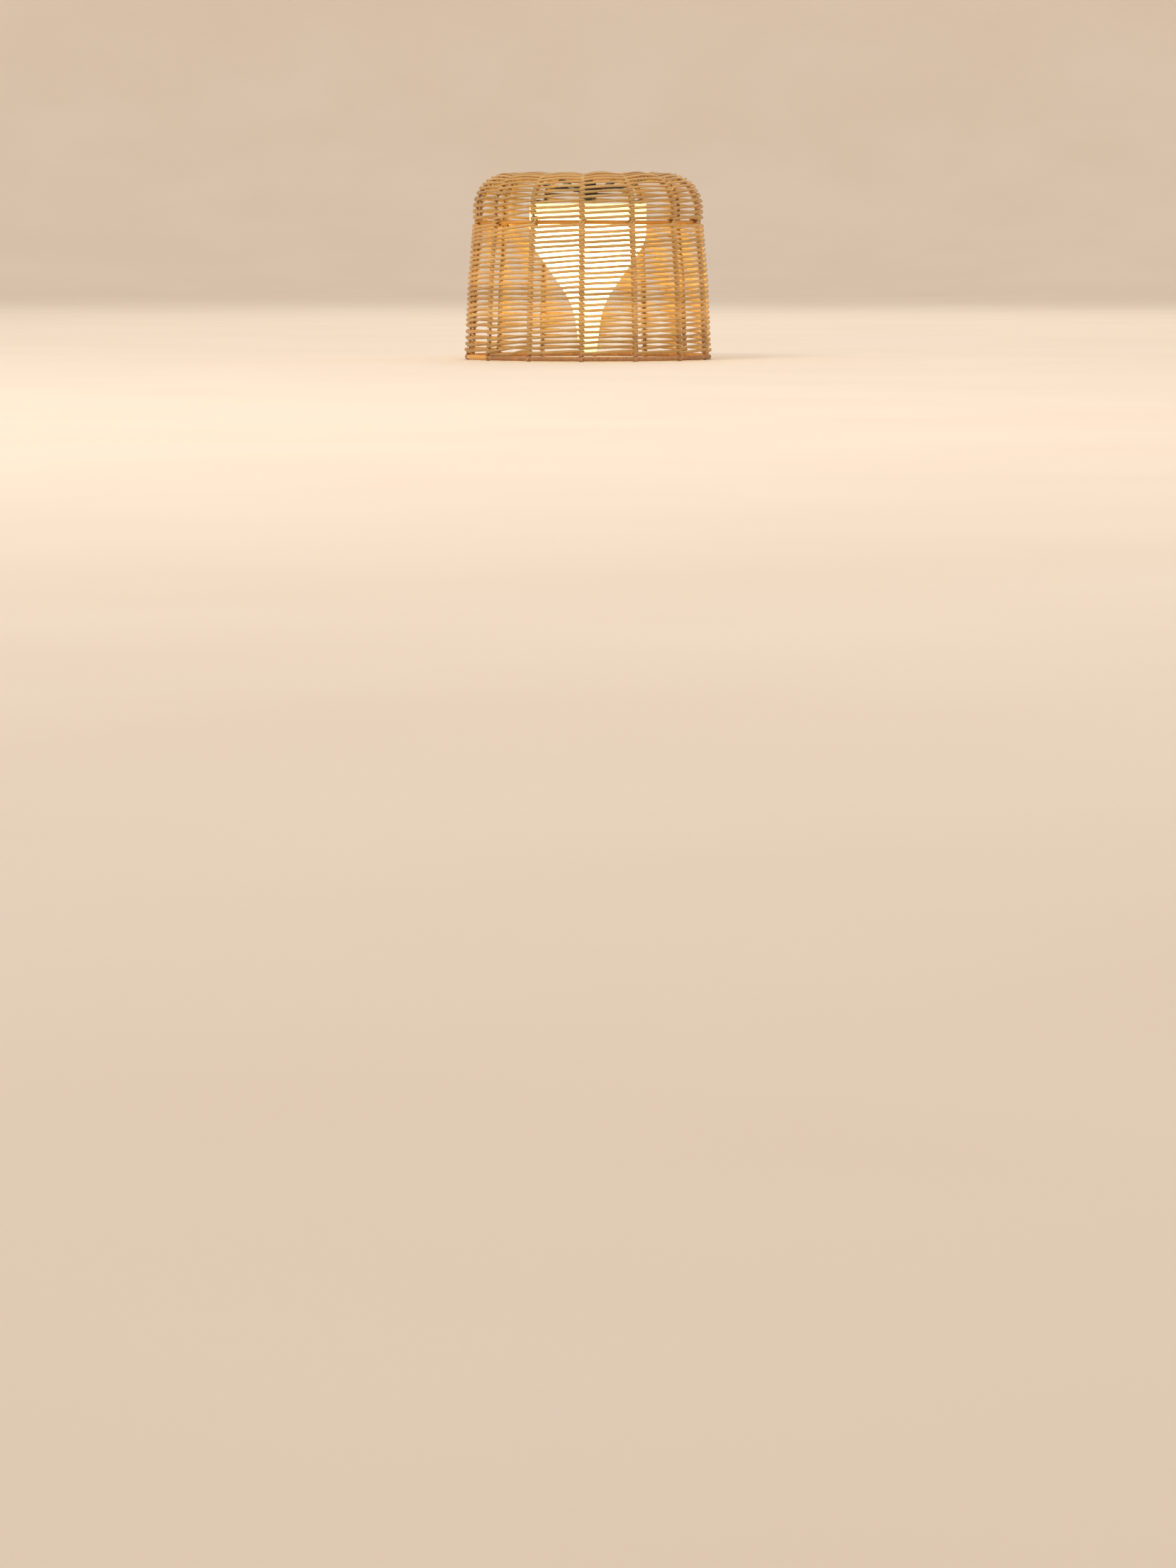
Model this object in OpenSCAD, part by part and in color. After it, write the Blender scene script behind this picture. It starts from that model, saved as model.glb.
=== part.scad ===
// Woven reed lamp shade with an opal diffuser inside it.
// The origin is at the centre of the hem, on the surface that the shade stands on, and +Z is up.
// The front of the shade faces -Y. Curves in a radial plane are written as a walk: a start
// [radius, height, heading] and steps of [length, 0] for a straight or [radius, turn] for an arc.
// A heading of 0 goes up, and a positive one leans towards the axis.

/* [Weave] */
// Diameter of one reed
reed_d = 2.9; // [2:0.1:4]
// How far the reeds arch above the frame on the top
weave_arch = 2.4; // [1:0.1:4]

/* [Frame] */
// Number of ribs
ribs = 14; // [14:1:14]
// Angle of the first rib from the front
rib_phase = -3; // [-12:1:12]
// Diameter of the rib wire
rib_d = 3; // [2:0.5:4]
// Radius of the ribs' centre line at the shoulder
shoulder_r = 139.5; // [130:0.5:150]
// Bend radius of the shoulder
elbow_r = 37; // [30:1:45]
// Height of the ribs' centre line on the top
top_z = 225.8; // [215:0.2:235]
// Radius of the top ring's centre line
top_ring_r = 75; // [60:1:90]
// Diameter of the wire of the two end rings
ring_wire_d = 4; // [3:0.5:5]
// Outer diameter of a bound ring
binding_d = 5.8; // [5:0.1:7]
// Thickness of the cane strip in a rim lashing
lashing_t = 0.6; // [0.4:0.1:1]
// Width of a rim lashing
lashing_w = 5; // [4.5:0.5:8]
// Diameter of the shoulder hoop
hoop_d = 5; // [4:0.5:6]
// Height of the shoulder hoop
hoop_z = 170.5; // [165:0.5:175]

/* [Carrier] */
// Half the span of the carrier bridge
bridge_half = 53; // [45:1:58]
// Height of the bridge's middle plane
bridge_z = 205.5; // [203:0.5:207]
// Width of the bridge strip
bridge_w = 14; // [10:1:18]
// Thickness of the steel strips
strip_t = 2.5; // [2:0.5:3]
// Radius of the carrier stud
stud_r = 4.95; // [4.95:0.01:4.99]
// Radius of the holes that run on the stud
stud_hole_r = 5.02; // [5.02:0.01:5.04]
// Radius of the spider hub
hub_r = 18; // [14:1:20]
// Number of spider arms
arms = 4; // [4:1:4]
// Angle of the first spider arm from the front
arm_phase = 65; // [50:1:80]
// Width of a spider arm
arm_w = 8; // [6:1:10]

/* [Diffuser] */
// Radius of the diffuser's straight upper wall
diffuser_r = 73; // [73:1:73]
// Height of the neck's open end
neck_z = 8.6; // [8:0.2:12]
// Height of the diffuser's top edge
diffuser_top_z = 193.5; // [190:0.5:195]
// Wall thickness of the diffuser
diffuser_t = 2.2; // [1.8:0.1:2.4]
// Radius of the socket for the lamp's pole
socket_r = 8.1; // [8.05:0.01:8.15]
// Depth of the socket
socket_depth = 36; // [30:1:38]

/* [Light source] */
// Radius of the lamp holder
holder_r = 12.8; // [11:0.1:13]
// Radius of the bulb's globe
globe_r = 22.5; // [20:0.5:24]

/* [Hidden] */
$fn = 64;

steel_colour = [0.10, 0.09, 0.08];
frame_colour = [0.50, 0.34, 0.19];
cane_colour = [0.69, 0.51, 0.35];
reed_colour = [0.80, 0.66, 0.46];
hoop_colour = [0.82, 0.60, 0.30];
opal_colour = [1.00, 0.96, 0.86];
brass_colour = [0.80, 0.65, 0.35];

gap = 0.3;          // clearance between solids that don't touch
touch = 0.05;       // clearance between pieces that rest on each other
bead = 0.1;         // how much thicker a rib is at the knuckle of a small bend
fine_step = 6;      // largest turn between two points of a computed arc, in degrees
bay = 360 / ribs;

// Ribs: a flared foot, a side in two leans, a bend at the hoop, the shoulder and the top
foot_lean = 14;
low_lean = 2.4;
high_lean = 5;
foot_bend_r = 92;
side_bend_r = 60;
elbow_z = top_z - elbow_r;
upright_run = 12;
waist_z = elbow_z - upright_run;
foot_z = (lashing_t + binding_d / 2) + ring_wire_d / 2 + 3 * touch;
bends_rise = foot_bend_r * (sin(foot_lean) - sin(low_lean)) + side_bend_r * (2 * sin(high_lean) - sin(low_lean));
side_run = (waist_z - foot_z - bends_rise) / (cos(low_lean) + cos(high_lean));
side_steps = [
    [foot_bend_r, low_lean - foot_lean],
    [side_run, 0],
    [side_bend_r, high_lean - low_lean],
    [side_run, 0],
    [side_bend_r, -high_lean],
    [upright_run, 0]
];
foot_r = shoulder_r + foot_bend_r * (cos(low_lean) - cos(foot_lean))
    + side_run * (sin(low_lean) + sin(high_lean)) + side_bend_r * (1 + cos(low_lean) - 2 * cos(high_lean));
rib_start = [foot_r, foot_z, foot_lean];
top_run = shoulder_r - elbow_r - top_ring_r - ring_wire_d / 2 - touch;
rib_runs = [
    [tangent(side_steps[0]), side_steps[0][1]],
    [tangent(side_steps[0]) + side_run + tangent(side_steps[2]), side_steps[2][1]],
    [tangent(side_steps[2]) + side_run + tangent(side_steps[4]), side_steps[4][1]]
];
last_run = tangent(side_steps[4]) + upright_run;

// Rings
ring_z = lashing_t + binding_d / 2;
ring_r = foot_r;
hoop_r = shoulder_r + side_bend_r * (1 - cos(high_lean)) - rib_d / 2 - hoop_d / 2 - touch;

// Weave: a skin that starts just outside the ribs
skin_in = rib_d / 2 + 0.1;
skin_out = rib_d / 2 + reed_d;
hem_gap = 3;        // height of the open gap over the hem
side_bottom_z = ring_z + binding_d / 2 + hem_gap;
side_top_z = hoop_z + 1;
bay_gap = 0.15;     // half the gap between two bays' skins, in degrees
shoulder_belts = 3;
belt_gap = 0.4;     // gap at the end of a shoulder belt, in degrees

// Stack on the stud, from the bridge up
bridge_top = bridge_z + strip_t / 2;
washer_t = 1.5;
support_washer_r = 12;
nut_washer_r = 9.2;
hub_t = 4;
hub_z = bridge_top + washer_t + 0.2;
arm_z = hub_z + hub_t + strip_t / 2;
arm_rise_turn = 17;
arm_bend_r = 8;
arm_start_r = 12;
arm_flat = 33;
arm_end_flat = 4;
arm_end_z = top_z - binding_d / 2 - touch - strip_t / 2;
arm_slope = (arm_end_z - arm_z - 2 * arm_bend_r * (1 - cos(arm_rise_turn))) / sin(arm_rise_turn);
nut_washer_z = hub_z + hub_t + 0.1;
nut_z = nut_washer_z + washer_t + 0.1;
nut_r = 10;
nut_h = 7;
nut_dome_h = 2.6;
nut_dome_r = 6.2;
nut_flutes = 20;
nut_flute_r = 1;
locknut_h = 5;
locknut_r = 9.2;
stud_bottom = bridge_z - strip_t / 2 - locknut_h - 1.5;
stud_top = nut_z + nut_h;
stud_chamfer = 0.6;

// Bridge feet and their screws
bridge_bend_r = 3;
foot_len = 13;
foot_screw_r = 2;
screw_head_r = 3.6;
screw_head_h = 2.2;
screw_socket_r = 1.6;
foot_screw_inset = 4;
foot_screw_at = bridge_half + foot_len - foot_screw_inset;
foot_z_low = diffuser_top_z + touch;

// Diffuser outline, from the neck up
neck_r = 10.6;
neck_lean = -7;
cone_lean = -35;
neck_len = 36;
neck_bend_r = 95;
crown_bend_r = 52;
neck_rise = neck_len * cos(neck_lean) + neck_bend_r * (sin(-cone_lean) - sin(-neck_lean));
neck_out = neck_len * sin(-neck_lean) + neck_bend_r * (cos(neck_lean) - cos(cone_lean));
crown_out = crown_bend_r * (1 - cos(cone_lean));
crown_rise = crown_bend_r * sin(-cone_lean);
cone_len = (diffuser_r - neck_r - neck_out - crown_out) / sin(-cone_lean);
wall_len = diffuser_top_z - neck_z - neck_rise - crown_rise - cone_len * cos(cone_lean);
diffuser_start = [neck_r, neck_z, neck_lean];
diffuser_steps = [
    [neck_len, 0],
    [neck_bend_r, cone_lean - neck_lean],
    [cone_len, 0],
    [crown_bend_r, -cone_lean],
    [wall_len, 0]
];
socket_top = neck_z + socket_depth;
ledge_t = 4;
nipple_r = 4.95;
nipple_bore_r = 3.5;
plate_t = 2.5;
set_screw_r = 1.5;
set_screw_len = 4;
set_screw_socket_r = 0.9;
set_screw_rise = 12;
set_screw_z = neck_z + set_screw_rise;

// Lamp holder and bulb
holder_z = socket_top + ledge_t + touch;
holder_h = 30;
holder_cavity_r = 8.5;
holder_floor = 7;
ring_nut_r = 14.6;
ring_nut_rise = 18;
ring_nut_z = holder_z + ring_nut_rise;
ring_nut_h = 5;
cap_r = 6.9;
cap_z = holder_z + holder_floor + 1;
cap_h = 22;
contact_r = 2.4;
contact_h = 0.8;
globe_rise = 33;
globe_z = cap_z + cap_h + globe_rise;
glass_t = 0.8;

// Angle about +Z of a place given as an angle from the front
function from_front(a) = a - 90;

// One step of a walk: the state [radius, height, heading] after it
function after(s, step) =
    step[1] == 0
    ? [s[0] - step[0] * sin(s[2]), s[1] + step[0] * cos(s[2]), s[2]]
    : let (b = step[0] * sign(step[1]), h = s[2] + step[1])
      [s[0] + b * (cos(h) - cos(s[2])), s[1] + b * (sin(h) - sin(s[2])), h];

// All states of a walk, with arcs cut into turns of fine_step or less
function walk(s, steps, i = 0) =
    i == len(steps) ? [s]
    : let (turn = steps[i][1], n = max(1, ceil(abs(turn) / fine_step)))
      concat(
          [s],
          [for (k = [1 : 1 : n - 1]) after(s, [steps[i][0], turn * k / n])],
          walk(after(s, steps[i]), steps, i + 1)
      );

// The walk's points moved out from the axis side by d
function offset_out(states, d) = [for (s = states) [s[0] + d * cos(s[2]), s[1] + d * sin(s[2])]];

// Length from an arc's end to the corner where its end tangents meet
function tangent(step) = step[0] * tan(abs(step[1]) / 2);

function reversed(list) = [for (i = [len(list) - 1 : -1 : 0]) list[i]];

// Outline of a wall between two distances from a walk
function wall(states, near, far) =
    concat(offset_out(states, near), reversed(offset_out(states, far)));

// Straight runs of wire from the origin up, each followed by its turn about Y, with a bead at the turn
module wire(runs, d, i = 0) {
    if (i < len(runs)) {
        cylinder(h = runs[i][0], d = d);
        translate([0, 0, runs[i][0]]) {
            sphere(d = d + bead);
            rotate([0, runs[i][1], 0]) wire(runs, d, i + 1) children();
        }
    } else children();
}

// A quarter turn of wire from the origin, up and then along +X, with a straight run after it
module quarter_bend(r, d, run) {
    translate([r, 0, 0]) rotate([90, 0, 0]) rotate([0, 0, 90]) rotate_extrude(angle = 90, $fn = 180)
        translate([r, 0]) circle(d = d, $fn = 32);
    translate([r, 0, r]) rotate([0, 90, 0]) cylinder(h = run, d = d);
}

module at_ribs() {
    for (k = [0 : ribs - 1]) rotate([0, 0, from_front(rib_phase + k * bay)]) children();
}

module torus(r, d) {
    rotate_extrude($fn = 180) translate([r, 0]) circle(d = d, $fn = 32);
}

module tube(h, outer, inner) {
    difference() {
        cylinder(h = h, r = outer);
        translate([0, 0, -1]) cylinder(h = h + 2, r = inner);
    }
}

// A binding: a hollow torus with a gap at each rib
module binding(r, z, half_gap) {
    edge = asin(half_gap / r);
    at_ribs() rotate([0, 0, edge]) translate([0, 0, z]) rotate_extrude(angle = bay - 2 * edge, $fn = 180)
        translate([r, 0]) difference() {
            circle(d = binding_d, $fn = 32);
            circle(d = ring_wire_d + 2 * touch, $fn = 32);
        }
}

// A skin over every bay between two ribs, from its outline
module bay_skins() {
    at_ribs() rotate([0, 0, bay_gap]) rotate_extrude(angle = bay - 2 * bay_gap, $fn = 180) children();
}

module rib(k) {
    color(frame_colour)
    rotate([0, 0, from_front(rib_phase + (k - 1) * bay) + 180])
        translate([-foot_r, 0, foot_z]) rotate([0, foot_lean, 0]) wire(rib_runs, rib_d) {
            cylinder(h = last_run, d = rib_d);
            translate([0, 0, last_run]) quarter_bend(elbow_r, rib_d, top_run);
        }
}

module bottom_ring() {
    color(frame_colour) translate([0, 0, ring_z]) torus(ring_r, ring_wire_d);
}

module bottom_ring_binding() {
    color(cane_colour) binding(ring_r, ring_z, lashing_w / 2 + 0.2);
}

module rim_lashings() {
    color(cane_colour) at_ribs() translate([ring_r, 0, ring_z]) difference() {
        rotate([90, 0, 0]) cylinder(h = lashing_w, r = binding_d / 2 + lashing_t, center = true);
        rotate([90, 0, 0]) cylinder(h = lashing_w + 2, r = ring_wire_d / 2 + touch, center = true);
        cylinder(h = binding_d, d = rib_d + 1);
    }
}

module shoulder_hoop() {
    color(hoop_colour) translate([0, 0, hoop_z]) torus(hoop_r, hoop_d);
}

module top_ring() {
    color(frame_colour) translate([0, 0, top_z]) torus(top_ring_r, ring_wire_d);
}

module top_ring_binding() {
    color(cane_colour) binding(top_ring_r, top_z, rib_d / 2 + 0.2);
}

module side_weave() {
    states = walk(rib_start, side_steps);
    color(reed_colour) bay_skins() intersection() {
        polygon(wall(states, skin_in, skin_out));
        translate([0, side_bottom_z]) square([foot_r * 2, side_top_z - side_bottom_z]);
    }
}

// A straight band above the hoop, and belts round the bend that are short enough to bend little
module shoulder_weave() {
    centre = [shoulder_r - elbow_r, elbow_z];
    reach = elbow_r * 2;
    belt_angle = 90 / shoulder_belts;
    color(reed_colour) bay_skins() {
        translate([shoulder_r + skin_in, side_top_z + gap])
            square([skin_out - skin_in, elbow_z - side_top_z - gap]);
        for (belt = [0 : shoulder_belts - 1]) intersection() {
            difference() {
                translate([centre[0], centre[1] + weave_arch]) circle(r = elbow_r + skin_out, $fn = 180);
                translate(centre) circle(r = elbow_r + skin_in, $fn = 180);
            }
            translate(centre) rotate([0, 0, belt * belt_angle])
                polygon([[0, gap], [reach, gap], [reach, reach * tan(belt_angle - belt_gap)]]);
        }
    }
}

module top_weave() {
    inner_r = top_ring_r + binding_d / 2;
    color(reed_colour) bay_skins() translate([inner_r, top_z + skin_in])
        square([shoulder_r - elbow_r - inner_r - gap, skin_out - skin_in + weave_arch]);
}

module spider_hub() {
    color(steel_colour) translate([0, 0, hub_z]) tube(hub_t, hub_r, stud_hole_r);
}

module spider_arm(k) {
    states = walk([arm_start_r, arm_z, -90], [
        [arm_flat, 0], [arm_bend_r, arm_rise_turn], [arm_slope, 0],
        [arm_bend_r, -arm_rise_turn], [arm_end_flat, 0]
    ]);
    color(steel_colour) rotate([0, 0, from_front(arm_phase + (k - 1) * 360 / arms)])
        rotate([90, 0, 0]) linear_extrude(arm_w, center = true)
            polygon(wall(states, -strip_t / 2, strip_t / 2));
}

module carrier_bridge() {
    leg = bridge_z - foot_z_low - 2 * bridge_bend_r - strip_t / 2;
    states = walk([0, bridge_z, -90], [
        [bridge_half - bridge_bend_r, 0], [bridge_bend_r, -90], [leg, 0],
        [bridge_bend_r, 90], [foot_len - bridge_bend_r, 0]
    ]);
    color(steel_colour) difference() {
        for (side = [0, 180]) rotate([0, 0, side]) rotate([90, 0, 0])
            linear_extrude(bridge_w, center = true) polygon(wall(states, -strip_t / 2, strip_t / 2));
        translate([0, 0, bridge_z - 5]) cylinder(h = 10, r = stud_r + touch);
        for (side = [-1, 1]) translate([side * foot_screw_at, 0, foot_z_low - 5])
            cylinder(h = 10, r = foot_screw_r + touch);
    }
}

module carrier_stud() {
    stud_len = stud_top - stud_bottom;
    color(steel_colour) translate([0, 0, stud_bottom]) rotate_extrude() polygon([
        [0, 0], [stud_r, 0], [stud_r, stud_len - stud_chamfer],
        [stud_r - stud_chamfer, stud_len], [0, stud_len]
    ]);
}

module stud_locknut() {
    color(steel_colour) translate([0, 0, bridge_z - strip_t / 2 - touch - locknut_h]) difference() {
        cylinder(h = locknut_h, r = locknut_r, $fn = 6);
        translate([0, 0, -1]) cylinder(h = locknut_h + 2, r = stud_r + touch);
    }
}

module support_washer() {
    color(steel_colour) translate([0, 0, bridge_top + touch]) tube(washer_t, support_washer_r, stud_r + touch);
}

module bridge_screws() {
    color(steel_colour) for (side = [-1, 1]) translate([side * foot_screw_at, 0, 0]) {
        tip_z = foot_z_low - plate_t - 2;
        head_z = foot_z_low + strip_t + touch;
        translate([0, 0, tip_z]) cylinder(h = head_z - tip_z, r = foot_screw_r);
        translate([0, 0, head_z]) difference() {
            cylinder(h = screw_head_h, r = screw_head_r);
            translate([0, 0, screw_head_h / 2]) cylinder(h = screw_head_h, r = screw_socket_r, $fn = 6);
        }
    }
}

module diffuser_top_plate() {
    color(opal_colour) translate([0, 0, diffuser_top_z - plate_t]) difference() {
        cylinder(h = plate_t, r = diffuser_r - diffuser_t - gap);
        for (side = [-1, 1]) translate([side * foot_screw_at, 0, -1])
            cylinder(h = plate_t + 2, r = foot_screw_r + touch);
    }
}

module diffuser_shell() {
    states = walk(diffuser_start, diffuser_steps);
    hole_r = nipple_r + touch;
    ledge_top = socket_top + ledge_t;
    inner = offset_out(states, -diffuser_t);
    inner_r = lookup(ledge_top, [for (p = inner) [p[1], p[0]]]);
    inside = [for (p = inner) if (p[1] > ledge_top) p];
    color(opal_colour) difference() {
        rotate_extrude($fn = 180) polygon(concat(
            [[socket_r, neck_z], [socket_r, socket_top], [hole_r, socket_top], [hole_r, ledge_top]],
            [[inner_r, ledge_top]], inside, reversed(offset_out(states, 0))
        ));
        translate([0, 0, set_screw_z]) rotate([-90, 0, 0]) cylinder(h = 2 * neck_r, r = set_screw_r + touch);
    }
}

module neck_set_screw() {
    color(steel_colour) translate([0, socket_r + 0.1, set_screw_z]) rotate([-90, 0, 0]) difference() {
        cylinder(h = set_screw_len, r = set_screw_r);
        translate([0, 0, set_screw_len - 1.5]) cylinder(h = 3, r = set_screw_socket_r, $fn = 6);
    }
}

module holder_nipple() {
    color(brass_colour) translate([0, 0, socket_top + touch])
        tube(ledge_t + holder_floor - 1, nipple_r, nipple_bore_r);
}

module lamp_holder() {
    color(steel_colour) translate([0, 0, holder_z]) difference() {
        cylinder(h = holder_h, r = holder_r);
        translate([0, 0, -1]) cylinder(h = holder_floor + 2, r = nipple_r + touch);
        translate([0, 0, holder_floor]) cylinder(h = holder_h, r = holder_cavity_r);
    }
}

module holder_ring() {
    color(steel_colour) translate([0, 0, ring_nut_z]) tube(ring_nut_h, ring_nut_r, holder_r + touch);
}

module bulb_cap() {
    color(brass_colour) translate([0, 0, cap_z]) {
        cylinder(h = cap_h, r = cap_r);
        translate([0, 0, -contact_h]) cylinder(h = contact_h + 0.2, r = contact_r);
    }
}

module bulb_globe() {
    neck_end = cap_r + 1;
    collar_z = cap_z + cap_h + touch;
    from_below = asin(neck_end / globe_r);
    outline = concat(
        [[neck_end, collar_z]],
        [for (a = [-90 + from_below + 8 : 8 : 90]) [globe_r * cos(a), globe_z + globe_r * sin(a)]],
        [[0, globe_z + globe_r]]
    );
    inside = [for (p = outline) [max(0, p[0] - glass_t), min(p[1], globe_z + globe_r - glass_t)]];
    color(opal_colour) rotate_extrude() polygon(concat(outline, reversed(inside)));
}

module nut_washer() {
    color(steel_colour) translate([0, 0, nut_washer_z]) tube(washer_t, nut_washer_r, stud_hole_r);
}

module retaining_nut() {
    color(steel_colour) translate([0, 0, nut_z]) difference() {
        union() {
            cylinder(h = nut_h, r = nut_r);
            translate([0, 0, nut_h]) cylinder(h = nut_dome_h, r = nut_dome_r);
        }
        translate([0, 0, -1]) cylinder(h = nut_h + 1.6, r = stud_hole_r);
        for (k = [0 : nut_flutes - 1]) rotate([0, 0, k * 360 / nut_flutes])
            translate([nut_r + nut_flute_r / 2, 0, -1]) cylinder(h = nut_h + 2, r = nut_flute_r);
    }
}

bottom_ring();
bottom_ring_binding();
rim_lashings();
rib(1);  // rib_01
rib(2);  // rib_02
rib(3);  // rib_03
rib(4);  // rib_04
rib(5);  // rib_05
rib(6);  // rib_06
rib(7);  // rib_07
rib(8);  // rib_08
rib(9);  // rib_09
rib(10);  // rib_10
rib(11);  // rib_11
rib(12);  // rib_12
rib(13);  // rib_13
rib(14);  // rib_14
shoulder_hoop();
top_ring();
top_ring_binding();
side_weave();
shoulder_weave();
top_weave();
spider_hub();
spider_arm(1);  // spider_arm_1
spider_arm(2);  // spider_arm_2
spider_arm(3);  // spider_arm_3
spider_arm(4);  // spider_arm_4
carrier_bridge();
carrier_stud();
stud_locknut();
support_washer();
bridge_screws();
diffuser_top_plate();
diffuser_shell();
neck_set_screw();
holder_nipple();
lamp_holder();
holder_ring();
bulb_cap();
bulb_globe();
nut_washer();
retaining_nut();
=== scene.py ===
"""Woven reed lamp shade round a lit opal diffuser: the looks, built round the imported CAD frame.

Metres, +Z up, the shade's front faces -Y. A rib's surface is described by the arc length along its
centre line from the foot, so a row of reed is a list of such lengths, one for each rib.
"""

import math

import bpy
import numpy as np
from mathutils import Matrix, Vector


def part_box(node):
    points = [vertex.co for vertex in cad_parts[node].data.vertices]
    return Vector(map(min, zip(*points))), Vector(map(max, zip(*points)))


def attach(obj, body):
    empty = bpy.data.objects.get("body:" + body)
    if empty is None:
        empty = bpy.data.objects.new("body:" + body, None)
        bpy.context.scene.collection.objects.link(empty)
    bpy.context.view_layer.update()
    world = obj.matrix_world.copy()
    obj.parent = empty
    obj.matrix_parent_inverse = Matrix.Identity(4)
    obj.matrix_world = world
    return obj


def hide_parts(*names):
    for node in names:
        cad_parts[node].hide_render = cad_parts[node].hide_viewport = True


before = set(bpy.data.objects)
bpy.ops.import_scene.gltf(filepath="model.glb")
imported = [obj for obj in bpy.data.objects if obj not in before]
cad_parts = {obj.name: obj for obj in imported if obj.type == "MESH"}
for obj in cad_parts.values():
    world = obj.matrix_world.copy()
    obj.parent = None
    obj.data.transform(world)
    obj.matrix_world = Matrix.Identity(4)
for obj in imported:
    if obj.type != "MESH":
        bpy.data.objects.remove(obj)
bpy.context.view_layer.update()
MM = 0.001

# ---------------------------------------------------------------- camera, light and stage
IMAGE_W, IMAGE_H = 1659, 2212
FOCAL_PX = 7200          # a long lens, seen from across a room
CAMERA_DISTANCE = 6.43
CAMERA_HEIGHT = 0.150
CAMERA_PITCH = math.radians(6.095)   # looking down, as the shade is at the top of the picture


def make_camera():
    data = bpy.data.cameras.new("camera")
    data.sensor_width = 36
    data.lens = FOCAL_PX / max(IMAGE_W, IMAGE_H) * data.sensor_width
    cam = bpy.data.objects.new("camera", data)
    cam.location = (0, -CAMERA_DISTANCE, CAMERA_HEIGHT)
    cam.rotation_euler = (math.pi / 2 - CAMERA_PITCH, 0, 0)
    bpy.context.scene.collection.objects.link(cam)
    bpy.context.scene.camera = cam


def new_mesh(name, verts, faces):
    mesh = bpy.data.meshes.new(name)
    mesh.from_pydata([tuple(v) for v in verts], [], [tuple(f) for f in faces])
    mesh.polygons.foreach_set("use_smooth", [True] * len(mesh.polygons))
    mesh.update()
    obj = bpy.data.objects.new(name, mesh)
    bpy.context.scene.collection.objects.link(obj)
    return obj


def lathe(outline, segments):
    """Vertices and quads of an outline [(radius, height)] turned about Z."""
    angles = np.linspace(0, 2 * math.pi, segments, endpoint=False)
    verts = [(r * math.cos(a), r * math.sin(a), z) for a in angles for r, z in outline]
    n = len(outline)
    faces = []
    for i in range(segments):
        j = (i + 1) % segments
        faces += [(i * n + k, j * n + k, j * n + k + 1, i * n + k + 1) for k in range(n - 1)]
    return verts, faces


def make_stage():
    """A pale floor that sweeps up into a round wall, well outside every camera position."""
    room_r, cove_r, wall_h = 9.5, 2.4, 3.2
    floor_rings, cove_steps, segments = 8, 24, 96
    floor_r = room_r - cove_r
    turn = [math.pi / 2 * k / cove_steps for k in range(cove_steps + 1)]
    outline = [(0.001, 0)] + [(floor_r * k / floor_rings, 0) for k in range(1, floor_rings)]
    outline += [(floor_r + cove_r * math.sin(t), cove_r - cove_r * math.cos(t)) for t in turn]
    outline += [(room_r, wall_h)]
    stage = new_mesh("studio", *lathe(outline, segments))
    stage.data.materials.append(plaster())


def area_light(name, place, aim, size, watts, colour):
    data = bpy.data.lights.new(name, "AREA")
    data.shape = "DISK"
    data.size = size
    data.energy = watts
    data.color = colour
    light = bpy.data.objects.new(name, data)
    light.location = place
    away = np.array(place, float) - np.array(aim, float)
    light.rotation_euler = (
        math.acos(away[2] / np.linalg.norm(away)), 0, math.atan2(away[0], -away[1])
    )
    light.visible_camera = False
    bpy.context.scene.collection.objects.link(light)


def make_light():
    middle = (0, 0, 0.12)
    area_light("key", (-2.0, -3.0, 3.2), middle, 2.0, 75, (1.0, 0.95, 0.87))
    area_light("fill", (3.2, -2.6, 1.2), middle, 2.6, 14, (1.0, 0.84, 0.66))
    area_light("back", (0.6, 3.6, 3.0), middle, 2.4, 30, (1.0, 0.93, 0.84))
    world = bpy.data.worlds.new("world")
    bpy.context.scene.world = world
    world.use_nodes = True
    background = world.node_tree.nodes["Background"]
    background.inputs["Color"].default_value = (1.0, 0.95, 0.90, 1)
    background.inputs["Strength"].default_value = 0.85
    bpy.context.scene.view_settings.view_transform = "Standard"


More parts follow.
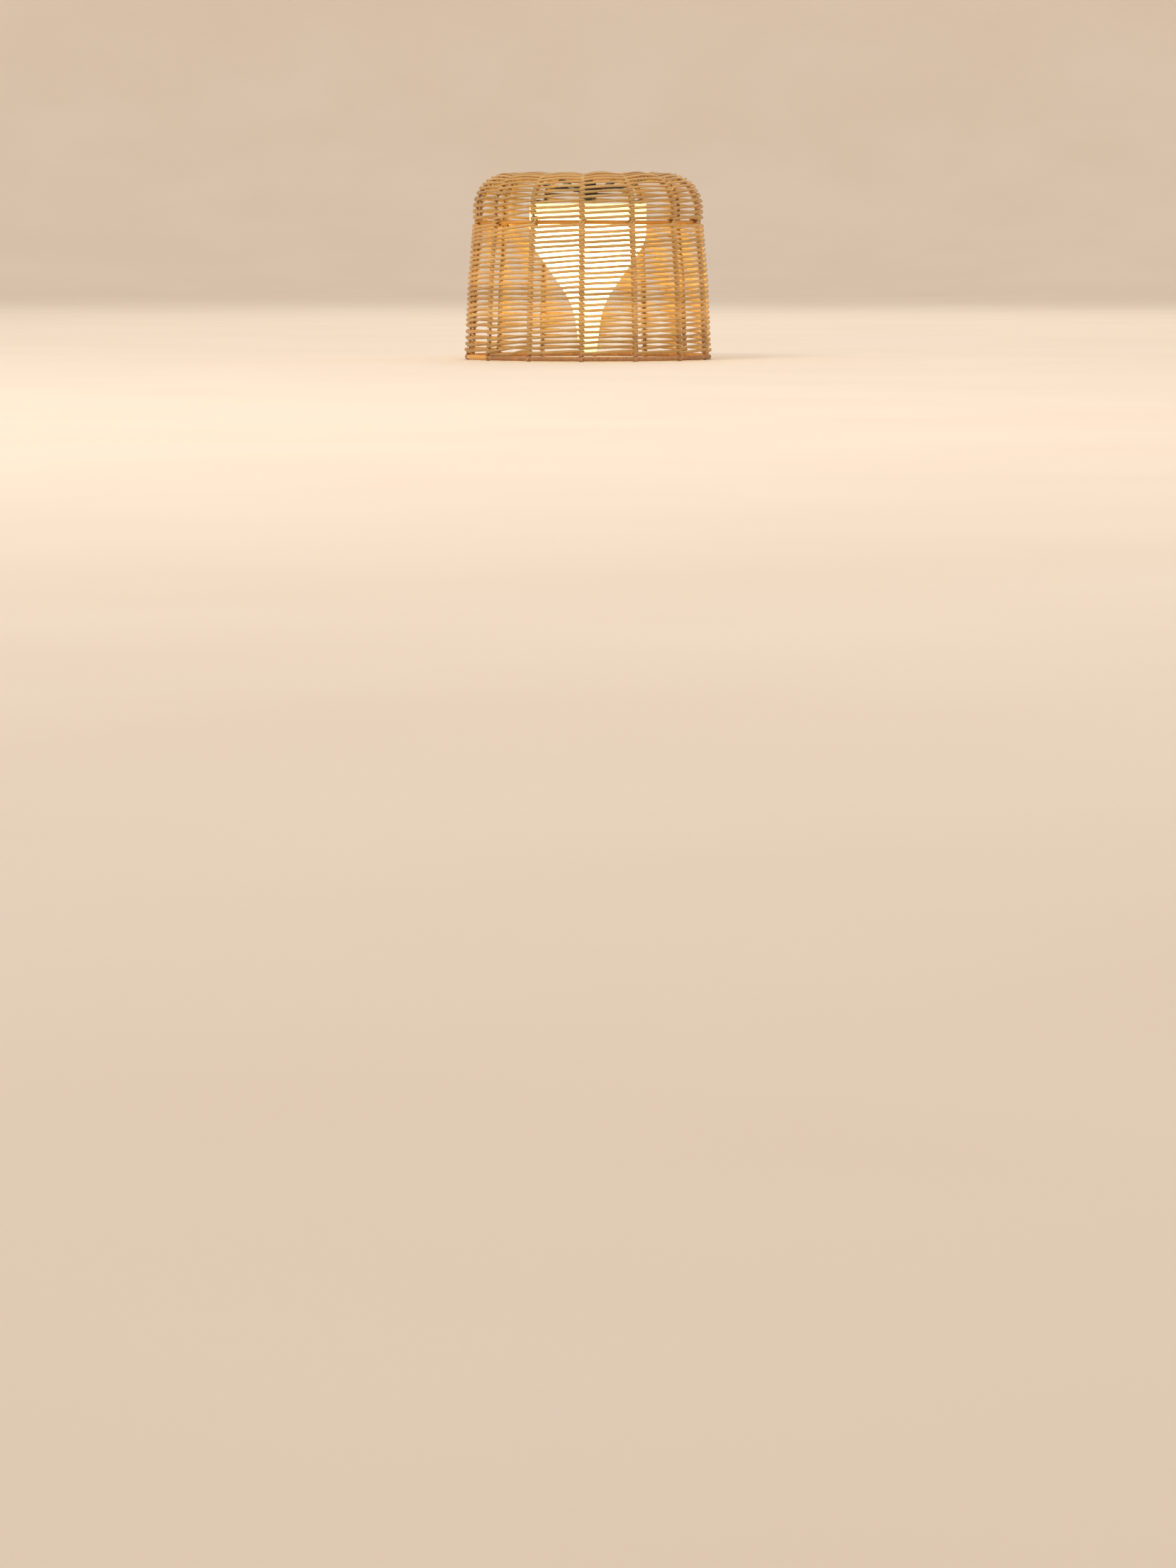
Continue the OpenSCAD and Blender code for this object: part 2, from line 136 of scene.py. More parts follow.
# ---------------------------------------------------------------- materials
class Nodes:
    """A node material under construction, with a Principled shader at its output."""

    def __init__(self, name):
        self.material = bpy.data.materials.new(name)
        self.material.use_nodes = True
        self.tree = self.material.node_tree
        self.shader = self.tree.nodes["Principled BSDF"]

    def add(self, kind, inputs=None, **settings):
        node = self.tree.nodes.new("ShaderNode" + kind)
        for key, value in settings.items():
            setattr(node, key, value)
        for key, value in (inputs or {}).items():
            self.put(node.inputs[key], value)
        return node

    def put(self, socket, value):
        if isinstance(value, bpy.types.NodeSocket):
            self.tree.links.new(value, socket)
        else:
            socket.default_value = value

    def noise(self, vector, scale, detail=3, rough=0.5):
        return self.add("TexNoise", {
            "Vector": vector, "Scale": scale, "Detail": detail, "Roughness": rough
        }).outputs["Fac"]

    def stretched(self, vector, scale):
        return self.add("Mapping", {"Vector": vector, "Scale": scale}).outputs["Vector"]

    def ramp(self, value, stops):
        node = self.add("ValToRGB", {"Fac": value})
        elements = node.color_ramp.elements
        while len(elements) < len(stops):
            elements.new(0.5)
        for element, (at, colour) in zip(elements, stops):
            element.position = at
            element.color = (*colour, 1)
        return node.outputs["Color"]

    def colour_between(self, value, low, high):
        """The base colour, from one (position, colour) stop to another."""
        self.put(self.shader.inputs["Base Color"], self.ramp(value, [low, high]))

    def between(self, value, low, high, from_low=0.0, from_high=1.0):
        return self.add("MapRange", {
            "Value": value, "From Min": from_low, "From Max": from_high, "To Min": low, "To Max": high
        }).outputs["Result"]

    def mix(self, share, first, second, blend="MIX"):
        node = self.add("Mix", data_type="RGBA", blend_type=blend)
        self.put(node.inputs[0], share)
        self.put(node.inputs[6], first)
        self.put(node.inputs[7], second)
        return node.outputs[2]

    def bump(self, height, strength, distance):
        node = self.add("Bump", {"Height": height, "Strength": strength, "Distance": distance})
        self.put(self.shader.inputs["Normal"], node.outputs["Normal"])

    def place(self):
        return self.add("TexCoord").outputs["Object"]

    def attribute(self, name, output):
        return self.add("Attribute", attribute_name=name).outputs[output]


def srgb(r, g, b):
    """Linear colour of an sRGB one given in 0 to 255."""
    return tuple(
        c / 255 / 12.92 if c / 255 <= 0.04045 else ((c / 255 + 0.055) / 1.055) ** 2.4 for c in (r, g, b)
    )


def plaster():
    m = Nodes("plaster")
    grain = m.noise(m.place(), 3.0, 2)
    m.colour_between(grain, (0.3, srgb(232, 216, 198)), (0.7, srgb(235, 220, 203)))
    m.shader.inputs["Roughness"].default_value = 0.9
    return m.material


def reed_material(name, pale, middle, dark, gloss=0.55):
    """Split cane: streaks along the strand, blotches from strand to strand, and darker knots."""
    m = Nodes(name)
    fibre = m.attribute("fibre", "Vector")
    tone = m.attribute("tone", "Fac")
    streak = m.noise(m.stretched(fibre, (25, 900, 900)), 1.0, 3, 0.6)
    blotch = m.noise(m.stretched(fibre, (60, 120, 120)), 1.0, 2)
    knot = m.noise(m.stretched(fibre, (170, 350, 350)), 1.0, 2)
    base = m.ramp(streak, [(0.25, dark), (0.5, middle), (0.75, pale)])
    shade = m.between(tone, 0.72, 1.20)
    grey = m.add("CombineColor", {"Red": shade, "Green": shade, "Blue": shade}).outputs["Color"]
    toned = m.mix(1.0, base, grey, "MULTIPLY")
    hue = m.noise(m.stretched(fibre, (9, 40, 40)), 1.0, 1)
    redder = m.mix(1.0, toned, (1.06, 0.88, 0.78, 1), "MULTIPLY")
    tinted = m.mix(m.between(hue, 0.0, 0.5, 0.35, 0.75), toned, redder)
    warm = m.mix(m.between(blotch, 0.0, 0.45, 0.45, 0.75), tinted, (*middle, 1))
    spots = m.mix(m.between(knot, 0.0, 0.8, 0.66, 0.76), warm, (*dark, 1))
    m.put(m.shader.inputs["Base Color"], spots)
    m.put(m.shader.inputs["Roughness"], m.between(streak, gloss - 0.08, gloss + 0.2))
    m.shader.inputs["Sheen Weight"].default_value = 0.08
    m.bump(streak, 0.5, 0.0002)
    return m.material


def powder_coat():
    m = Nodes("powder_coat")
    grain = m.noise(m.place(), 1800, 2)
    wear = m.noise(m.place(), 40, 3)
    m.colour_between(wear, (0.3, srgb(18, 15, 13)), (0.75, srgb(34, 29, 25)))
    m.put(m.shader.inputs["Roughness"], m.between(wear, 0.42, 0.60))
    m.bump(grain, 0.25, 0.0001)
    return m.material


def lacquer():
    m = Nodes("lacquer")
    wear = m.noise(m.place(), 60, 3)
    drag = m.noise(m.place(), 900, 2)
    m.colour_between(wear, (0.3, srgb(126, 88, 52)), (0.75, srgb(160, 118, 74)))
    m.put(m.shader.inputs["Roughness"], m.between(wear, 0.35, 0.5))
    m.bump(drag, 0.2, 0.0001)
    return m.material


def phenolic():
    m = Nodes("phenolic")
    cloud = m.noise(m.place(), 90, 3)
    m.colour_between(cloud, (0.3, srgb(16, 15, 15)), (0.8, srgb(30, 28, 27)))
    m.put(m.shader.inputs["Roughness"], m.between(cloud, 0.28, 0.42))
    return m.material


def turned_brass():
    m = Nodes("turned_brass")
    rings = m.noise(m.stretched(m.place(), (40, 40, 2600)), 1.0, 2)
    m.colour_between(rings, (0.3, srgb(176, 138, 72)), (0.7, srgb(214, 180, 110)))
    m.put(m.shader.inputs["Roughness"], m.between(rings, 0.22, 0.38))
    m.shader.inputs["Metallic"].default_value = 1.0
    m.bump(rings, 0.2, 0.00005)
    return m.material


def lit_opal(name, low, high, strength):
    """Satin opal that glows white in its middle and yellow towards its two ends."""
    m = Nodes(name)
    place = m.place()
    cloud = m.noise(place, 35, 3)
    z = m.add("SeparateXYZ", {"Vector": place}).outputs["Z"]
    height = m.between(z, 0.0, 1.0, low, high)
    glow = m.ramp(height, [
        (0.0, (0.34, 0.22, 0.07)), (0.10, (0.50, 0.40, 0.15)), (0.32, (0.8, 0.70, 0.32)),
        (0.45, (1.0, 0.91, 0.45)), (0.82, (1.0, 0.91, 0.45)), (0.93, (0.42, 0.37, 0.14)),
        (1.0, (0.32, 0.26, 0.09))
    ])
    m.colour_between(cloud, (0.3, srgb(244, 236, 218)), (0.7, srgb(250, 244, 230)))
    m.put(m.shader.inputs["Roughness"], m.between(cloud, 0.42, 0.55))
    m.put(m.shader.inputs["Emission Color"], glow)
    m.shader.inputs["Emission Strength"].default_value = strength
    return m.material


# ---------------------------------------------------------------- the ribs' line
def middle_and_size(node):
    low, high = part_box(node)
    return (low + high) / 2, high - low


HEM_MIDDLE, HEM_SIZE = middle_and_size("bottom_ring")
HOOP_MIDDLE, HOOP_SIZE = middle_and_size("shoulder_hoop")
TOP_MIDDLE, TOP_SIZE = middle_and_size("top_ring")
WIRE_D = HEM_SIZE.z
RIB_R = 1.5 * MM
HEM_R = (HEM_SIZE.x - WIRE_D) / 2
HOOP_R = (HOOP_SIZE.x - HOOP_SIZE.z) / 2
TOP_R = (TOP_SIZE.x - WIRE_D) / 2
TOP_Z = TOP_MIDDLE.z
RIBS = 14
BAY = 2 * math.pi / RIBS
FIRST_RIB = math.radians(-3 - 90)

FOOT_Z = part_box("rib_01")[0].z
ELBOW_R = 37 * MM
ELBOW_Z = TOP_Z - ELBOW_R
SHOULDER_R = 139.5 * MM
LEANS = [math.radians(a) for a in (14, 2.4, 5, 0)]
FOOT_BEND_R = 92 * MM
SIDE_BEND_R = 60 * MM
WAIST_Z = ELBOW_Z - 12 * MM
FLAT_RUN = SHOULDER_R - ELBOW_R - TOP_R    # of the rib over the top, to the top ring
LINE_STEP = 0.2 * MM


def rib_line():
    """The rib's centre line as arrays of arc length, radius, height and heading."""
    foot, low, high, upright = LEANS
    foot_rise = FOOT_BEND_R * (math.sin(foot) - math.sin(low))
    rise = foot_rise + SIDE_BEND_R * (2 * math.sin(high) - math.sin(low))
    run = (WAIST_Z - FOOT_Z - rise) / (math.cos(low) + math.cos(high))
    steps = [
        (FOOT_BEND_R, low - foot), (run, 0),
        (SIDE_BEND_R, high - low), (run, 0), (SIDE_BEND_R, upright - high),
        (ELBOW_Z - WAIST_Z, 0), (ELBOW_R, math.pi / 2), (FLAT_RUN, 0)
    ]
    heads, lengths = [foot], [0.0]
    for size, turn in steps:
        length = size * abs(turn) if turn else size
        n = max(1, round(length / LINE_STEP))
        heads += list(heads[-1] + turn * np.arange(1, n + 1) / n)
        lengths += [length / n] * n
    heads, lengths = np.array(heads), np.array(lengths)
    mean = (heads[1:] + heads[:-1]) / 2
    r = np.concatenate([[0], np.cumsum(-np.sin(mean) * lengths[1:])])
    z = np.concatenate([[0], np.cumsum(np.cos(mean) * lengths[1:])])
    return np.cumsum(lengths), r - r[-1] + TOP_R, z + FOOT_Z, heads


LINE_S, LINE_R, LINE_Z, LINE_H = rib_line()
SHOULDER_END = LINE_S[-1] - FLAT_RUN    # arc length at which the rib turns level


def on_line(s):
    """Radius, height and heading of the rib's line at arc lengths s."""
    return np.interp(s, LINE_S, LINE_R), np.interp(s, LINE_S, LINE_Z), np.interp(s, LINE_S, LINE_H)


def length_at_height(z):
    """Arc length where the rib's line passes a height, below the shoulder's top."""
    upright = LINE_S < SHOULDER_END
    return float(np.interp(z, LINE_Z[upright], LINE_S[upright]))


def on_surface(phi, s, out, side=0.0):
    """Points at angle phi and arc length s, moved out from the rib's line and sideways round it."""
    r, z, h = on_line(s)
    reach = r + out * np.cos(h)
    across = np.stack([-np.sin(phi), np.cos(phi), np.zeros_like(phi)], -1)
    point = np.stack([reach * np.cos(phi), reach * np.sin(phi), z + out * np.sin(h)], -1)
    up = np.stack([-np.sin(h) * np.cos(phi), -np.sin(h) * np.sin(phi), np.cos(h)], -1)
    return point + across * np.asarray(side)[..., None], up


# ---------------------------------------------------------------- strands
class Strands:
    """Many swept strands in one mesh, with what the reed material reads: fibre and tone."""

    def __init__(self):
        self.verts, self.faces, self.fibre, self.tone = [], [], [], []
        self.count = 0

    def sweep(self, points, ups, width, thick, tone, sides, closed, seed):
        """A strand along points. Its half sizes are width, along ups, and thick, across them."""
        points, ups = np.asarray(points, float), np.asarray(ups, float)
        n = len(points)
        if closed:
            tangent = np.roll(points, -1, 0) - np.roll(points, 1, 0)
        else:
            tangent = np.gradient(points, axis=0)
        tangent /= np.linalg.norm(tangent, axis=1)[:, None]
        a = ups - (ups * tangent).sum(1)[:, None] * tangent
        a /= np.linalg.norm(a, axis=1)[:, None]
        b = np.cross(tangent, a)
        angles = np.linspace(0, 2 * math.pi, sides, endpoint=False)
        width = np.broadcast_to(width, n)[:, None, None]
        thick = np.broadcast_to(thick, n)[:, None, None]
        ring = (
            points[:, None] + a[:, None] * np.cos(angles)[None, :, None] * width
            + b[:, None] * np.sin(angles)[None, :, None] * thick
        )
        along = np.concatenate([[0], np.cumsum(np.linalg.norm(np.diff(points, axis=0), axis=1))])
        radius = float(np.mean(width))
        fibre = np.stack([
            np.repeat(along + seed * 0.731, sides),
            np.tile(np.cos(angles) * radius + seed * 0.0173, n),
            np.tile(np.sin(angles) * radius + seed * 0.0091, n)
        ], -1)
        first = self.count
        self.verts.append(ring.reshape(-1, 3))
        self.fibre.append(fibre)
        self.tone.append(np.repeat(np.broadcast_to(tone, n), sides))
        i = np.arange(n if closed else n - 1)
        j = (i + 1) % n
        k = np.arange(sides)
        m = (k + 1) % sides
        quads = np.stack([
            first + i[:, None] * sides + k, first + i[:, None] * sides + m,
            first + j[:, None] * sides + m, first + j[:, None] * sides + k
        ], -1).reshape(-1, 4)
        self.faces += [tuple(q) for q in quads.tolist()]
        if not closed:
            self.faces.append(tuple(range(first + sides - 1, first - 1, -1)))
            self.faces.append(tuple(range(first + (n - 1) * sides, first + n * sides)))
        self.count += n * sides

    def build(self, name, material, body, slot, *replaced):
        obj = new_mesh(name, np.concatenate(self.verts), self.faces)
        fibre = obj.data.attributes.new("fibre", "FLOAT_VECTOR", "POINT")
        fibre.data.foreach_set("vector", np.concatenate(self.fibre).astype(np.float32).ravel())
        tone = obj.data.attributes.new("tone", "FLOAT", "POINT")
        tone.data.foreach_set("value", np.concatenate(self.tone).astype(np.float32))
        obj.data.materials.append(material)
        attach(obj, body)
        if replaced:
            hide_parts(*replaced)


# ---------------------------------------------------------------- the weave
REED_W = 1.78 * MM                     # half of the reed's width, which lies along the ribs
REED_T = 1.30 * MM                     # half of its thickness
WRAP_R = RIB_R + REED_T - 0.05 * MM    # radius of a turn round a rib, pressed on a little
PITCH = 6.4 * MM                       # between rows, which pass each rib twice
PASS = 0.27 * PITCH                    # the two passes lie this far above and below a row's level
SIDE_TURNS = 25
LAST_ROW_Z = 11.4 * MM                 # height of the row next to the hem
BELOW_HOOP = 4.9 * MM
ABOVE_HOOP = 6.2 * MM
TOP_GAP = 0.9 * MM                     # between the last row and the top ring
SEAM = 13                              # the rib at which one turn of the reed ends and the next begins
PLAIN_BAY = 11                         # the bay in which the hem has no binding
WRAP_STEPS = 16
SPAN_STEPS = 12
rng = np.random.RandomState(7)


def turn_levels(first, last, turns):
    """Arc length of every turn at every rib: uneven gaps, never closed and partly shared by all."""
    shared = rng.gamma(2.0, 0.5, turns - 1)[:, None]
    own = rng.gamma(2.0, 0.5, (turns - 1, RIBS))
    gap = 0.93 + 0.07 * (0.6 * shared + 0.4 * own)
    at = np.concatenate([np.zeros((1, RIBS)), np.cumsum(gap, 0)])
    return first + (last - first) * at / at[-1]


def sway(turns):
    """How far each rib's turns sit off their level, drifting slowly upwards and none at the two ends."""
    drift = rng.normal(0, 1, (turns + 12, RIBS))
    kernel = np.hanning(13) / np.hanning(13).sum()
    smooth = np.array([np.convolve(drift[:, k], kernel, "valid") for k in range(RIBS)]).T
    return smooth * 1.2 * MM * ends_fade(turns, 5)


def ends_fade(turns, length):
    """One for each turn, falling to zero over a number of turns at both ends of a stretch."""
    i = np.arange(turns)
    return np.clip(np.minimum(i, turns - 1 - i) / length, 0, 1)[:, None]


def climb(first, last, turns):
    """The reed's arc length at each rib as it meets them: level at both ends, a helix between."""
    at = turn_levels(first, last, turns) + sway(turns)
    order = (SEAM + np.arange(RIBS)) % RIBS
    at = at[:, order]
    rise = np.zeros_like(at)
    rise[:-1] = (at[1:] - at[:-1]) * np.arange(RIBS) / RIBS
    return (at + rise * ends_fade(turns, 4)).ravel()


def wrap(phi, s, start, end, lean):
    """Points of a turn round a rib, between two angles that count from the outside over the right."""
    n = max(3, round(WRAP_STEPS * (end - start) / (2 * math.pi)) + 1)
    psi = np.linspace(start, end, n)
    level = s + PASS * (1 - (psi - lean) / (math.pi - lean))
    tight = WRAP_R - 0.10 * MM * np.sin(psi / 2) ** 2
    return on_surface(np.full(n, phi), level, tight * np.cos(psi), tight * np.sin(psi))


def stub(phi, s, direction, length):
    """A cut end behind a rib, which runs on inside: to the left with direction -1, or the right."""
    share = np.linspace(0.15, 1, 5)
    side = direction * length * share
    out = -WRAP_R - 0.35 * length * share ** 2
    level = s - direction * 1.3 * MM * share
    return on_surface(np.full(5, phi), level, out, side)


def span(k, s, after, lean, bow, wave):
    """Points between rib k and the next, bowed outwards, without the two ends."""
    reach = float(on_line(s)[0])
    share = np.linspace(0, 1, SPAN_STEPS + 1)[1:-1]
    hump = np.sin(math.pi * share)
    level = s - PASS + (after - s + 2 * PASS) * share
    level = level + (hump * wave[0] * 0.22 + np.sin(2 * math.pi * share) * wave[1] * 0.16) * MM
    out = WRAP_R * math.cos(lean) + bow * hump
    edge = math.asin(WRAP_R * math.sin(lean) / reach)
    phi = FIRST_RIB + k * BAY
    return on_surface(phi - edge + (BAY + 2 * edge) * share, level, out)


def add_reed(strands, first, levels, seed, lead_in=None):
    """One length of reed, from the rib numbered first on. It starts and ends inside, behind a rib."""
    tone = float(np.clip(0.5 + rng.normal(0, 0.20), 0, 1))
    paths, tones = ([lead_in] if lead_in else []), []
    last = len(levels) - 1
    for i, s in enumerate(levels):
        k = first + i
        phi = FIRST_RIB + k * BAY
        heading = float(on_line(s)[2])
        wave = rng.normal(0, 1, 3)
        bow = (0.7 + 1.9 * math.sin(max(heading, 0)) ** 2) * MM * (1 + 0.15 * wave[2])
        lean = math.atan(math.pi * bow / (BAY * float(on_line(s)[0])))
        start = lean if i or lead_in else math.pi
        end = 2 * math.pi - lean if i < last else math.pi
        if i == 0 and not lead_in:
            points, ups = stub(phi, s, 1, rng.uniform(4, 9) * MM)
            paths.append((points[::-1], ups[::-1]))
        paths.append(wrap(phi, s, start, end, lean))
        if i < last:
            paths.append(span(k, s, levels[i + 1], lean, bow, wave))
        else:
            paths.append(stub(phi, s, -1, rng.uniform(4, 9) * MM))
    points = np.concatenate([p for p, _ in paths])
    ups = np.concatenate([u for _, u in paths])
    n = len(points)
    along = np.arange(n)
    swell = 1 + 0.04 * rng.normal() + 0.04 * np.sin(along * 0.037 + rng.rand() * 6.3)
    swell = swell + 0.02 * np.sin(along * 0.31 + rng.rand() * 6.3)
    tones = tone + 0.10 * np.sin(along * 0.013 + rng.rand() * 6.3)
    strands.sweep(points, ups, REED_W * swell, REED_T * swell, np.clip(tones, 0, 1), 8, False, seed)


def add_course(strands, levels, seed, lead_in=None):
    """A stretch of weave: lengths of reed, each starting where the last one ends."""
    start = 0
    while start < len(levels) - 1:
        end = start + int(rng.uniform(24, 50))
        if end > len(levels) - 8:
            end = len(levels) - 1
        add_reed(strands, SEAM + start, levels[start:end + 1], seed + start, lead_in)
        start, lead_in = end, None


def hem_tail(level):
    """The reed's first end, which lies along the hem and then rises to the first rib."""
    share = np.linspace(0, 1, 2 * SPAN_STEPS)[:-1]
    low = length_at_height(HEM_MIDDLE.z + 4.4 * MM)
    ease = np.clip((share - 0.45) / 0.55, 0, 1)
    rise = ease ** 2 * (3 - 2 * ease)
    s = low + (level + PASS - low) * rise
    out = (1.2 + (WRAP_R / MM - 1.2) * rise) * MM
    return on_surface(FIRST_RIB + (SEAM - 1 + 0.08 + 0.92 * share) * BAY, s, out)


def add_fibres(strands, courses):
    """Loose fibres that stand off the reed here and there."""
    for i in range(70):
        levels = courses[rng.randint(len(courses))]
        at = rng.randint(len(levels))
        phi = FIRST_RIB + (SEAM + at) * BAY + rng.normal(0, 0.12) * BAY
        length = rng.uniform(3, 11) * MM
        share = np.linspace(0, 1, 7)
        away, up = rng.normal(0, 0.5), rng.normal(0, 0.5)
        curl = rng.normal(0, 0.35)
        out = WRAP_R + REED_T * 0.6 + length * (0.75 * share + curl * share ** 2) * 0.6
        level = levels[at] + PASS + length * (up * share + curl * share ** 2)
        points, ups = on_surface(np.full(7, phi), level, out, length * away * share)
        width = 0.16 * MM * (1.1 - share)
        strands.sweep(points, ups, width, width, 0.9, 4, False, 900 + i)


def make_weave(material):
    """The side below the hoop, the shoulder above it, and the flat top up to the opening."""
    hoop_s = length_at_height(HOOP_MIDDLE.z)
    foot_s = length_at_height(LAST_ROW_Z)
    side = climb(foot_s, hoop_s - BELOW_HOOP, SIDE_TURNS)
    top_s = LINE_S[-1] - WIRE_D / 2 - TOP_GAP - REED_W
    above_s = hoop_s + ABOVE_HOOP
    above = climb(above_s, top_s, 1 + round((top_s - above_s) / PITCH))
    half = len(side) // 2 // RIBS * RIBS
    bend = int(np.argmax(above > SHOULDER_END)) // RIBS * RIBS
    stretches = [
        ("lower_side_reeds", "side_weave", side[:half + 1], 1000, hem_tail(side[0])),
        ("upper_side_reeds", "side_weave", side[half:], 2000, None),
        ("shoulder_reeds", "shoulder_weave", above[:bend + 1], 3000, None),
        ("top_reeds", "top_weave", above[bend:], 4000, None),
    ]
    for name, node, levels, seed, lead_in in stretches:
        strands = Strands()
        add_course(strands, levels, seed, lead_in)
        strands.build(name, material, "shade", "reed", node)
    loose = Strands()
    add_fibres(loose, [side, above[:bend]])
    add_cut_ends(loose)
    loose.build("loose_ends", material, "shade", "reed")


# ---------------------------------------------------------------- rings, bindings and lashings
BINDING_R = 2.9 * MM      # outside of the wound cane, from the middle of the wire
SPLICE_R = 2.85 * MM
LASHING_R = 3.5 * MM
HOOP_POINTS = 180


def circle_points(radius, z, angles):
    return np.stack([radius * np.cos(angles), radius * np.sin(angles), np.full_like(angles, z)], -1)


def coil(strands, ring_r, ring_z, start, end, turns, coil_r, width, thick, tone, seed, steps=12):
    """A flat strip wound round a ring, from angle start to angle end."""
    n = int(turns * steps) + 1
    t = np.linspace(0, 1, n)
    phi = start + (end - start) * t
    a = 2 * math.pi * turns * t
    out, up = coil_r * np.cos(a), coil_r * np.sin(a)
    points = np.stack([(ring_r + out) * np.cos(phi), (ring_r + out) * np.sin(phi), ring_z + up], -1)
    across = np.stack([-np.sin(phi), np.cos(phi), np.zeros(n)], -1)
    strands.sweep(points, across, width, thick, tone, 6, False, seed)


def make_binding(name, ring_r, ring_z, replaced, material, plain=()):
    """Cane strip wound round a ring, bay by bay, but for the bays that stay plain."""
    strands = Strands()
    strip_w, strip_t = 1.7 * MM, 0.8 * MM
    for k in range(RIBS):
        if k in plain:
            continue
        bay_turns = ring_r * BAY / strip_w
        start = FIRST_RIB + k * BAY
        coil(strands, ring_r, ring_z, start, start + BAY, bay_turns, BINDING_R - strip_t / 2,
             strip_w * 0.53, strip_t / 2, np.clip(0.5 + rng.normal(0, 0.12), 0, 1), 100 + k)
    strands.build(name, material, "shade", "binding_cane", replaced)


def make_hem_splice(material):
    """The hem's one bay without binding: a peeled cane closes over the ring instead."""
    strands = Strands()
    phi = FIRST_RIB + (PLAIN_BAY + np.linspace(0.02, 0.98, 30)) * BAY
    points = circle_points(HEM_R, HEM_MIDDLE.z, phi)
    ups = np.tile((0, 0, 1.0), (len(phi), 1))
    strands.sweep(points, ups, SPLICE_R, SPLICE_R, 0.8, 14, False, 350)
    strands.build("hem_splice", material, "shade", "hoop_cane", "bottom_ring_binding")


def make_lashings(material):
    """Cane that ties each rib to the hem: slanting turns round the ring, one round the rib."""
    strands = Strands()
    strip_t = 0.7 * MM
    t = np.linspace(0, 2 * math.pi, 28, endpoint=False)
    for k in range(RIBS):
        phi = FIRST_RIB + k * BAY
        half = 2.2 * MM / HEM_R * (1 + 0.25 * rng.rand())
        coil(strands, HEM_R, HEM_MIDDLE.z, phi + half, phi - half, 2.0, LASHING_R - strip_t / 2,
             1.35 * MM, strip_t / 2, 0.6 + 0.3 * rng.rand(), 200 + k, 16)
        side = 2.9 * MM * np.cos(t)
        level = length_at_height(HEM_MIDDLE.z + 4.3 * MM) + 1.1 * MM * np.cos(t)
        points, ups = on_surface(np.full(len(t), phi), level, 2.6 * MM * np.sin(t), side)
        strands.sweep(points, ups, 1.25 * MM, 0.5 * MM, 0.7, 6, True, 250 + k)
    strands.build("rim_ties", material, "shade", "binding_cane", "rim_lashings")


def make_hoop(material):
    strands = Strands()
    angles = np.linspace(0, 2 * math.pi, HOOP_POINTS, endpoint=False)
    wobble = 0.12 * MM * np.sin(3 * angles + 1) + 0.08 * MM * np.sin(7 * angles)
    points = circle_points(HOOP_R - 0.1 * MM, HOOP_MIDDLE.z, angles)
    points[:, 2] += wobble
    ups = np.tile((0, 0, 1.0), (HOOP_POINTS, 1))
    strands.sweep(points, ups, HOOP_SIZE.z / 2, HOOP_SIZE.z / 2, 0.55, 14, True, 300)
    strands.build("hoop_cane", material, "shade", "hoop_cane", "shoulder_hoop")


def make_hoop_ties(material):
    """Reed that lashes the hoop to each rib: two slanting turns round both."""
    strands = Strands()
    hoop_s = length_at_height(HOOP_MIDDLE.z)
    rib_r = float(on_line(hoop_s)[0])
    front = WRAP_R + 0.1 * MM
    back = HOOP_R - HOOP_SIZE.z / 2 - REED_T - rib_r
    middle, reach = (front + back) / 2, (front - back) / 2
    t = np.linspace(0, 2 * math.pi, 30, endpoint=False)
    for k in range(RIBS):
        phi = FIRST_RIB + k * BAY
        for turn in (-1, 1):
            side = 3.5 * MM * np.cos(t) + turn * 0.9 * MM
            level = hoop_s + 3.6 * MM * np.cos(t) - turn * 1.5 * MM + rng.normal(0, 0.15) * MM
            points, ups = on_surface(np.full(len(t), phi), level, middle + reach * np.sin(t), side)
            tone = np.clip(rng.normal(0.5, 0.15), 0, 1)
            strands.sweep(points, ups, REED_W * 0.95, REED_T * 0.9, tone, 8, True, 400 + 2 * k + turn)
    strands.build("hoop_ties", material, "shade", "reed")


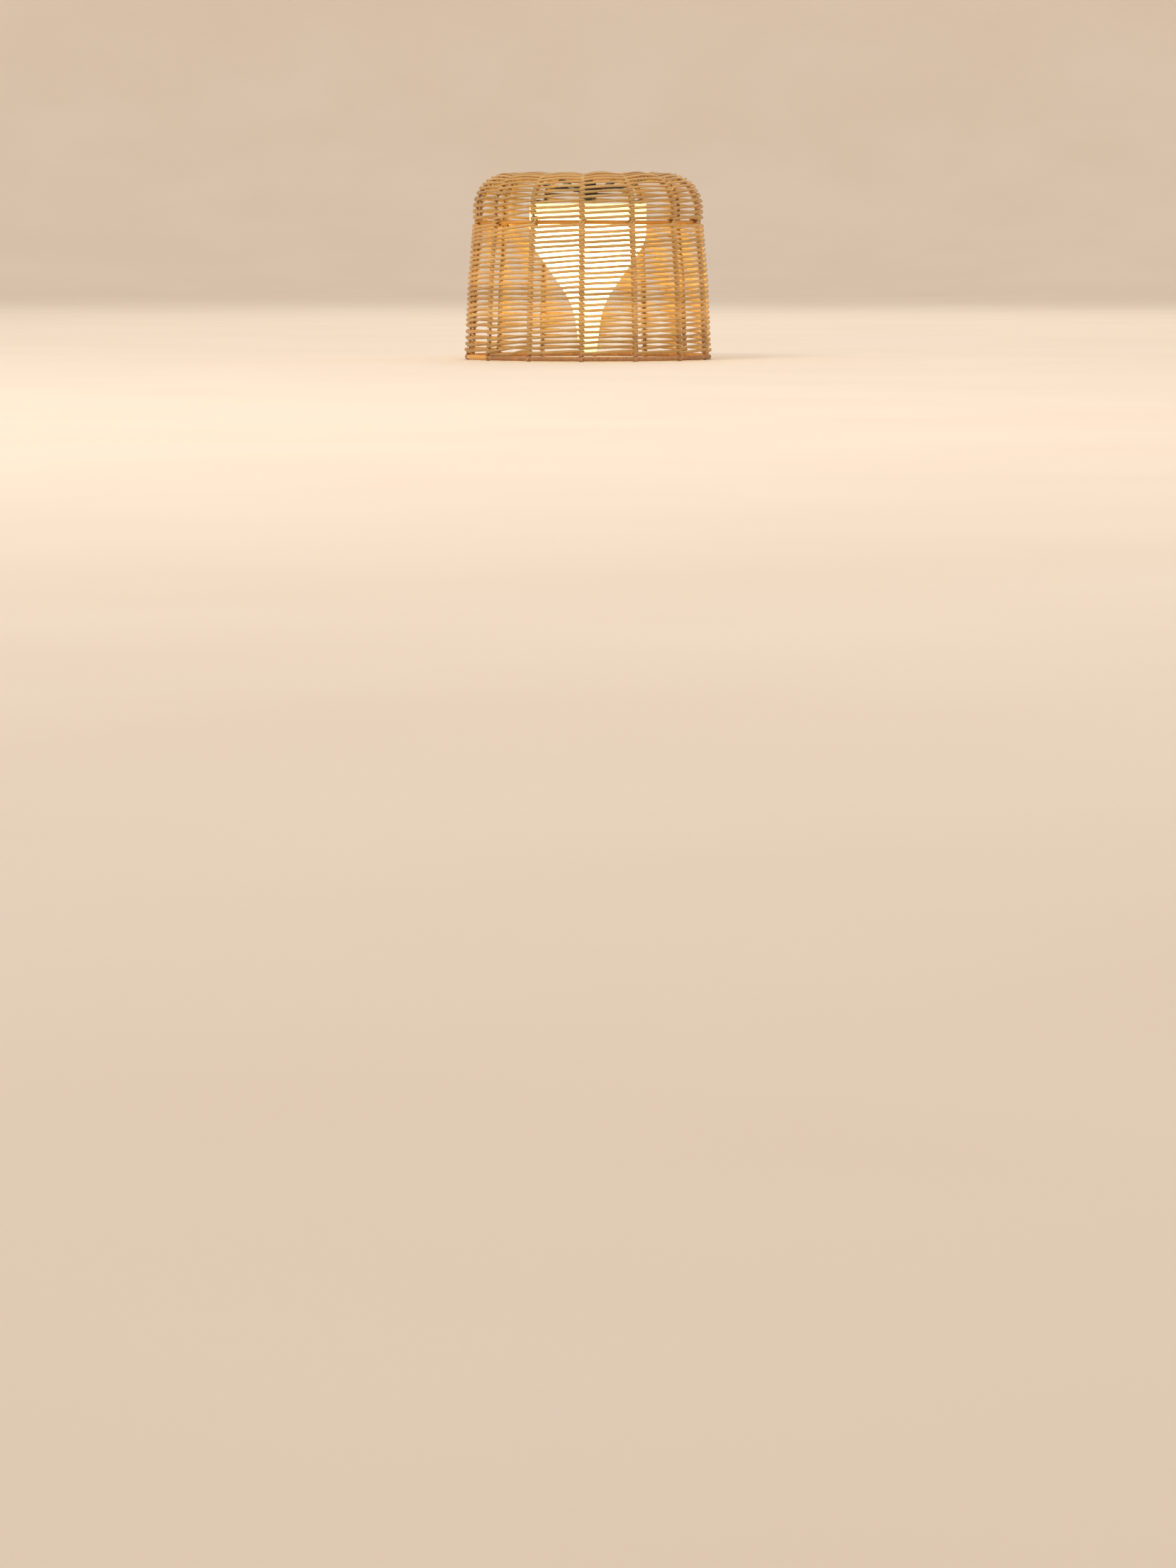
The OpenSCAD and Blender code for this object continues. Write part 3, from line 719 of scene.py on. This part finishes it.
def add_cut_ends(strands):
    """Short ends of reed left standing on the right shoulder, beside two ribs."""
    bend_s = SHOULDER_END - ELBOW_R * math.pi / 4
    for k, count in ((2, 4), (3, 2)):
        for i in range(count):
            length = rng.uniform(3.5, 6) * MM
            share = np.linspace(0, 1, 6)
            s = bend_s + (i - count / 2) * PITCH * 1.3 + rng.normal(0, 1.0) * MM
            out = WRAP_R + length * rng.uniform(0.25, 0.6) * share
            side = length * (0.6 * share + 0.2 * share ** 2)
            phi = np.full(6, FIRST_RIB + k * BAY)
            points, ups = on_surface(phi, s + length * 0.25 * share, out, side)
            strands.sweep(points, ups, REED_W * 0.8, REED_T * 0.9, 0.75, 8, False, 850 + 10 * k + i)


# ---------------------------------------------------------------- putting it together
def dress(nodes, material):
    for name in nodes:
        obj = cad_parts[name]
        obj.data.materials.clear()
        obj.data.materials.append(material)


make_camera()
make_stage()
make_light()

reed = reed_material(
    "reed", srgb(220, 188, 130), srgb(202, 161, 97), srgb(156, 108, 54)
)
binding = reed_material(
    "binding", srgb(200, 156, 106), srgb(180, 131, 83), srgb(130, 86, 50), 0.45
)
peeled_cane = reed_material(
    "peeled_cane", srgb(228, 184, 98), srgb(215, 162, 74), srgb(182, 122, 48), 0.35
)
make_weave(reed)
make_binding("hem_binding", HEM_R, HEM_MIDDLE.z, "bottom_ring_binding", binding, [PLAIN_BAY])
make_hem_splice(peeled_cane)
make_binding("top_binding", TOP_R, TOP_Z, "top_ring_binding", binding)
make_lashings(binding)
make_hoop(peeled_cane)
make_hoop_ties(reed)

coat = powder_coat()
dress([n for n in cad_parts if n.startswith("rib_")] + ["bottom_ring", "top_ring"], lacquer())
dress([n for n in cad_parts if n.startswith("spider_")], coat)
dress(["carrier_bridge", "carrier_stud", "stud_locknut", "support_washer",
       "bridge_screws", "neck_set_screw", "nut_washer", "retaining_nut"], coat)
neck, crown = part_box("diffuser_shell")
dress(["diffuser_shell", "diffuser_top_plate"], lit_opal("lit_opal", neck.z, crown.z, 4.8))
bulb_low, bulb_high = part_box("bulb_globe")
dress(["bulb_globe"], lit_opal("lit_bulb", bulb_low.z, bulb_high.z, 6.0))
dress(["holder_nipple", "bulb_cap"], turned_brass())
dress(["lamp_holder", "holder_ring"], phenolic())
